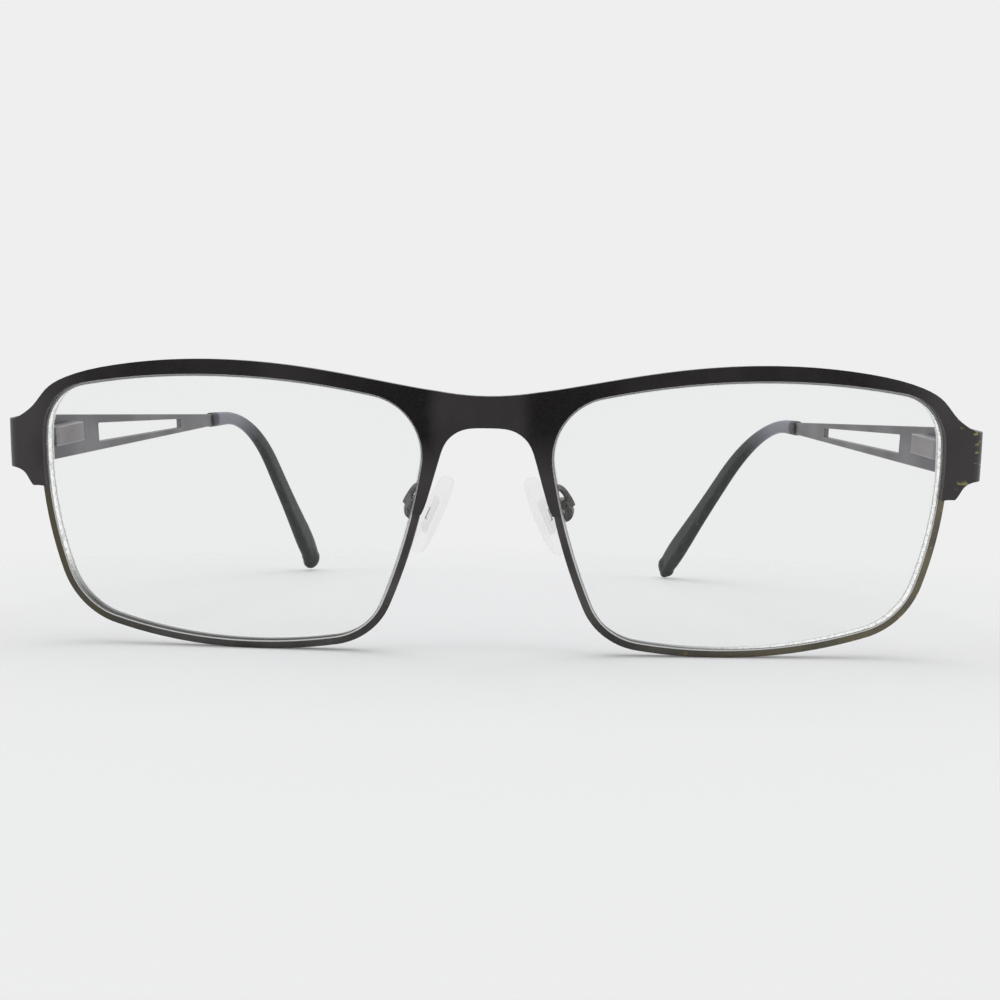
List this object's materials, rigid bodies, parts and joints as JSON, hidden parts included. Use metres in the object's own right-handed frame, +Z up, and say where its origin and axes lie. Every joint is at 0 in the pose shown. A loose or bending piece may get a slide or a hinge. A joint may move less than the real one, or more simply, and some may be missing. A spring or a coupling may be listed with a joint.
{
  "type": "eyeglasses",
  "caption": "Rectangular full-rim metal eyeglasses with a brow plate, clear lenses, silicone nose pads, spring-hinged windowed temples and bent plastic temple tips.",
  "frame": {"origin": "on the floor under the middle of the bounding box, the glasses standing open on rims and temple tips", "axes": "+Z up, +Y from the lenses towards the temple tips, +X to the wearer's left"},
  "size_m": [0.1406, 0.1448, 0.0406],
  "materials": {
    "brow_metal": "dark brushed gunmetal",
    "rim_metal": "dark gunmetal, worn in places",
    "bare_metal": "satin grey metal",
    "screw_metal": "plain steel",
    "spring_steel": "bright spring wire",
    "temple_metal": "satin grey inside",
    "tip_plastic": "satin black plastic",
    "wire_metal": "dark grey wire",
    "lens_plastic": "clear, with frosted edges",
    "pad_silicone": "clear soft silicone",
    "insert_plastic": "clear hard plastic"
  },
  "bodies": {
    "front": {"front_plate": "brow_metal", "left_rim": "rim_metal", "left_lens": "lens_plastic", "left_rim_lock_upper": "bare_metal", "left_rim_lock_lower": "bare_metal", "left_rim_screw": "screw_metal", "left_hinge_leaf": "bare_metal", "left_hinge_screw": "screw_metal", "left_pad_arm": "wire_metal", "left_pad_screw": "screw_metal", "right_rim": "rim_metal", "right_lens": "lens_plastic", "right_rim_lock_upper": "bare_metal", "right_rim_lock_lower": "bare_metal", "right_rim_screw": "screw_metal", "right_hinge_leaf": "bare_metal", "right_hinge_screw": "screw_metal", "right_pad_arm": "wire_metal", "right_pad_screw": "screw_metal"},
    "left_tongue_body": {"left_hinge_tongue": "bare_metal"},
    "left_temple_body": {"left_hinge_box": "bare_metal", "left_hinge_spring": "spring_steel", "left_temple": "temple_metal", "left_temple_tip": "tip_plastic"},
    "left_pad_body": {"left_nose_pad": "pad_silicone", "left_pad_insert": "insert_plastic"},
    "right_tongue_body": {"right_hinge_tongue": "bare_metal"},
    "right_temple_body": {"right_hinge_box": "bare_metal", "right_hinge_spring": "spring_steel", "right_temple": "temple_metal", "right_temple_tip": "tip_plastic"},
    "right_pad_body": {"right_nose_pad": "pad_silicone", "right_pad_insert": "insert_plastic"}
  },
  "joints": [
    {"name": "left_temple_fold", "type": "hinge", "parent": "front", "child": "left_tongue_body", "pos_m": [0.0676, -0.05866, 0.02987], "axis": [0, -0.1839, 0.9829], "range_deg": [-12.7, 76.3]},
    {"name": "left_spring_slide", "type": "slide", "parent": "left_tongue_body", "child": "left_temple_body", "axis": [-0.0819, 0.9796, 0.1833], "range_m": [0, 0.0012], "stiffness_N_per_m": 3000, "springref_m": -0.0005, "deforming": ["left_hinge_spring"]},
    {"name": "left_pad_rock", "type": "hinge", "parent": "front", "child": "left_pad_body", "pos_m": [0.011, -0.06112, 0.02062], "axis": [0.1586, 0.955, 0.2506], "range_deg": [-8, 8]},
    {"name": "right_temple_fold", "type": "hinge", "parent": "front", "child": "right_tongue_body", "pos_m": [-0.0676, -0.05866, 0.02987], "axis": [0, 0.1839, -0.9829], "range_deg": [-12.7, 82.3]},
    {"name": "right_spring_slide", "type": "slide", "parent": "right_tongue_body", "child": "right_temple_body", "axis": [0.0819, 0.9796, 0.1833], "range_m": [0, 0.0012], "stiffness_N_per_m": 3000, "springref_m": -0.0005, "deforming": ["right_hinge_spring"]},
    {"name": "right_pad_rock", "type": "hinge", "parent": "front", "child": "right_pad_body", "pos_m": [-0.011, -0.06112, 0.02062], "axis": [0.1586, -0.955, -0.2506], "range_deg": [-8, 8]}
  ]
}
